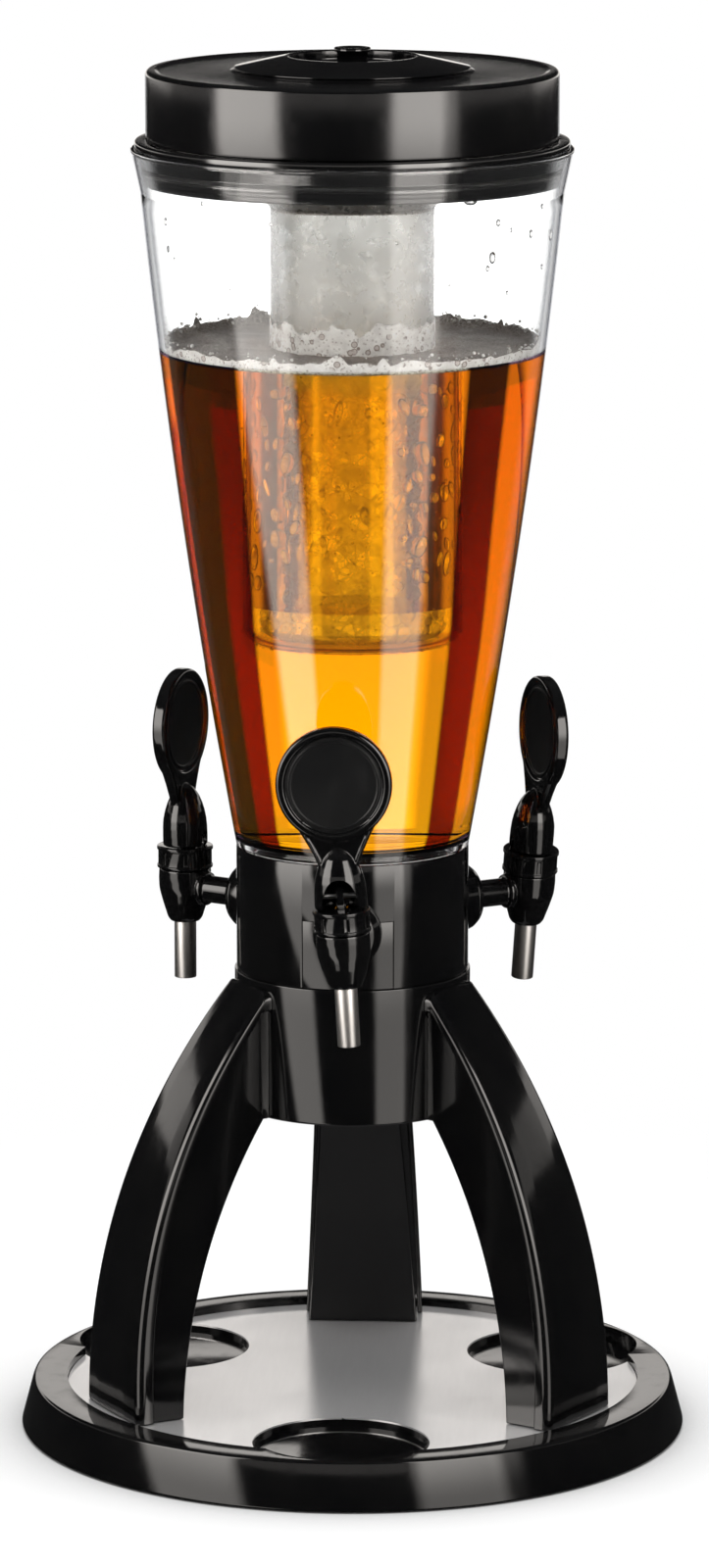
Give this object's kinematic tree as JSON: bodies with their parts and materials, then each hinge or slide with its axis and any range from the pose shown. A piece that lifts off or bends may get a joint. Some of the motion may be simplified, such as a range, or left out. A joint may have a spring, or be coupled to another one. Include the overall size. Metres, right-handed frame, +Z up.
{
  "type": "beer tower dispenser",
  "caption": "Clear flared drink tower on an arched black stand, with paddle taps round its collar, a tray with glass pockets and a lidded ice tube inside.",
  "frame": {"origin": "centre of the tray's footprint, on the plane that the pads stand on", "axes": "+Z up, the front tap towards -Y, +X to the right seen from the front"},
  "size_m": [0.32, 0.32, 0.6644],
  "materials": {
    "gloss_black": "smooth, glossy black",
    "satin_black": "fine satin black",
    "steel": "finely brushed, bright",
    "screw": "plain zinc-bright steel",
    "rubber": "dull black",
    "clear": "clear, polished"
  },
  "bodies": {
    "stand": {"base_tray": "gloss_black", "serving_plate": "steel", "tray_pad_left": "rubber", "tray_pad_right": "rubber", "tray_pad_rear": "rubber", "leg_left": "gloss_black", "leg_right": "gloss_black", "leg_rear": "gloss_black", "leg_screw_left": "screw", "leg_screw_right": "screw", "leg_screw_rear": "screw", "hub": "gloss_black", "hub_screw_left": "screw", "hub_screw_right": "screw", "hub_screw_rear": "screw", "collar": "satin_black", "collar_insert_front": "satin_black", "collar_insert_left": "satin_black", "collar_insert_right": "satin_black", "container": "clear", "container_floor": "clear", "tap_body_front": "gloss_black", "tap_flange_front": "gloss_black", "tap_gasket_front": "rubber", "tap_nut_front": "gloss_black", "tap_bonnet_front": "gloss_black", "tap_spout_front": "steel", "tap_body_left": "gloss_black", "tap_flange_left": "gloss_black", "tap_gasket_left": "rubber", "tap_nut_left": "gloss_black", "tap_bonnet_left": "gloss_black", "tap_spout_left": "steel", "tap_body_right": "gloss_black", "tap_flange_right": "gloss_black", "tap_gasket_right": "rubber", "tap_nut_right": "gloss_black", "tap_bonnet_right": "gloss_black", "tap_spout_right": "steel"},
    "lid": {"lid_plug": "satin_black", "lid_cap": "satin_black", "lid_seal": "rubber"},
    "ice_cap": {"ice_cap": "satin_black", "ice_cap_seal": "rubber"},
    "ice_tube": {"ice_tube": "clear", "ice_tube_seal": "rubber"},
    "lever_front": {"tap_lever_front": "gloss_black", "tap_pin_front": "screw"},
    "lever_left": {"tap_lever_left": "gloss_black", "tap_pin_left": "screw"},
    "lever_right": {"tap_lever_right": "gloss_black", "tap_pin_right": "screw"},
    "plunger_front": {"tap_plunger_front": "gloss_black", "tap_seat_front": "rubber"},
    "plunger_left": {"tap_plunger_left": "gloss_black", "tap_seat_left": "rubber"},
    "plunger_right": {"tap_plunger_right": "gloss_black", "tap_seat_right": "rubber"}
  },
  "joints": [
    {"name": "lid_lift", "type": "slide", "parent": "stand", "child": "lid", "axis": [0, 0, 1], "range_m": [0, 0.25]},
    {"name": "ice_cap_lift", "type": "slide", "parent": "lid", "child": "ice_cap", "axis": [0, 0, 1], "range_m": [0, 0.03]},
    {"name": "ice_tube_release", "type": "slide", "parent": "lid", "child": "ice_tube", "axis": [0, 0, -1], "range_m": [0, 0.014]},
    {"name": "lever_tilt_front", "type": "hinge", "parent": "stand", "child": "lever_front", "pos_m": [-0.00042, -0.1039, 0.27357], "axis": [0.9984, 0.007, 0.0558], "range_deg": [0, 24]},
    {"name": "plunger_lift_front", "type": "slide", "parent": "stand", "child": "plunger_front", "axis": [-0.0558, -0.0004, 0.9984], "range_m": [0, 0.00275]},
    {"name": "lever_tilt_left", "type": "hinge", "parent": "stand", "child": "lever_left", "pos_m": [-0.09091, 0.05007, 0.2736], "axis": [-0.3355, -0.9421, 0], "range_deg": [0, 24]},
    {"name": "plunger_lift_left", "type": "slide", "parent": "stand", "child": "plunger_left", "axis": [0, 0, 1], "range_m": [0, 0.00275]},
    {"name": "lever_tilt_right", "type": "hinge", "parent": "stand", "child": "lever_right", "pos_m": [0.09155, 0.04906, 0.27325], "axis": [-0.3524, 0.9267, 0.1304], "range_deg": [0, 24]},
    {"name": "plunger_lift_right", "type": "slide", "parent": "stand", "child": "plunger_right", "axis": [0.0669, -0.1141, 0.9912], "range_m": [0, 0.00275]}
  ],
  "couplings": [
    {"joint": "plunger_lift_front", "follows": "lever_tilt_front", "m_per_rad": 0.00643},
    {"joint": "plunger_lift_left", "follows": "lever_tilt_left", "m_per_rad": 0.00643},
    {"joint": "plunger_lift_right", "follows": "lever_tilt_right", "m_per_rad": 0.00643}
  ]
}
